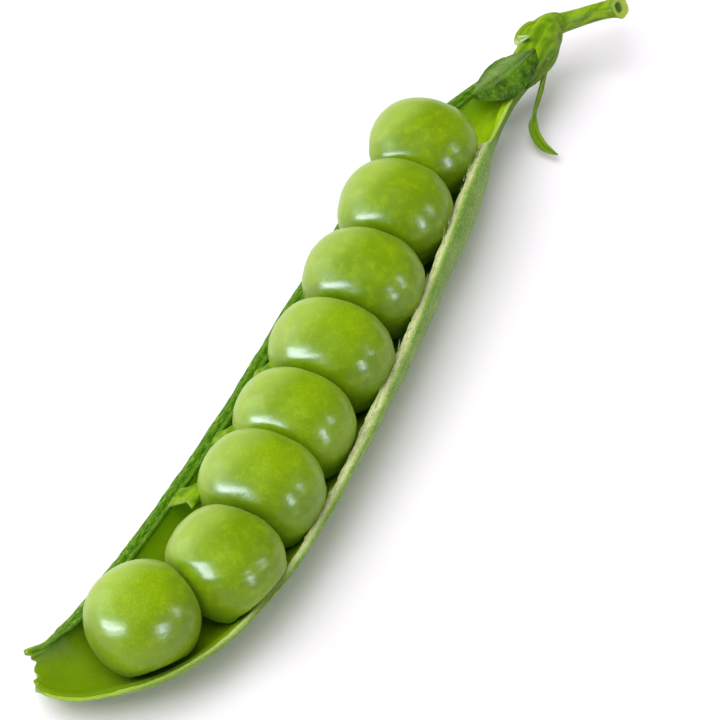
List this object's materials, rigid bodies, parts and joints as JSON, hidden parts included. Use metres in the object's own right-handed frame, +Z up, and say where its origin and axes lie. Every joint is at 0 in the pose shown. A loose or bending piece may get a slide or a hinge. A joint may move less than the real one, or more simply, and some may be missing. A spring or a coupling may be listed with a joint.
{
  "type": "pea pod",
  "caption": "Fresh garden pea pod lying opened on its side, with its upper valve torn away, a row of round peas in the lower valve, a leafy calyx and a cut stem.",
  "frame": {"origin": "middle of the footprint's bounding box, on the surface that the pod lies on", "axes": "+X from the torn tip to the stem, along the pod's longest extent; +Y towards the straighter seam; +Z up"},
  "size_m": [0.0884, 0.0196, 0.0116],
  "materials": {
    "pod_wall": "fresh pod wall, waxy and pale outside, moist and bright green inside",
    "pea_skin": "smooth, moist and glossy yellow-green skin",
    "funicle": "moist translucent bright lime",
    "sepal": "thin dark green leaf with a waxy bloom",
    "stem": "ribbed light green stalk with pale streaks"
  },
  "bodies": {
    "root": {"pod_valve": "pod_wall", "pea_1": "pea_skin", "pea_2": "pea_skin", "pea_3": "pea_skin", "pea_4": "pea_skin", "pea_5": "pea_skin", "pea_6": "pea_skin", "pea_7": "pea_skin", "pea_8": "pea_skin", "funicle_1": "funicle", "funicle_2": "funicle", "funicle_3": "funicle", "funicle_4": "funicle", "funicle_5": "funicle", "funicle_6": "funicle", "calyx_cup": "stem", "sepal_over_neck": "sepal", "sepal_hanging": "sepal", "sepal_curled": "sepal", "sepal_near_side": "sepal", "sepal_below": "sepal", "stem": "stem"}
  },
  "joints": []
}
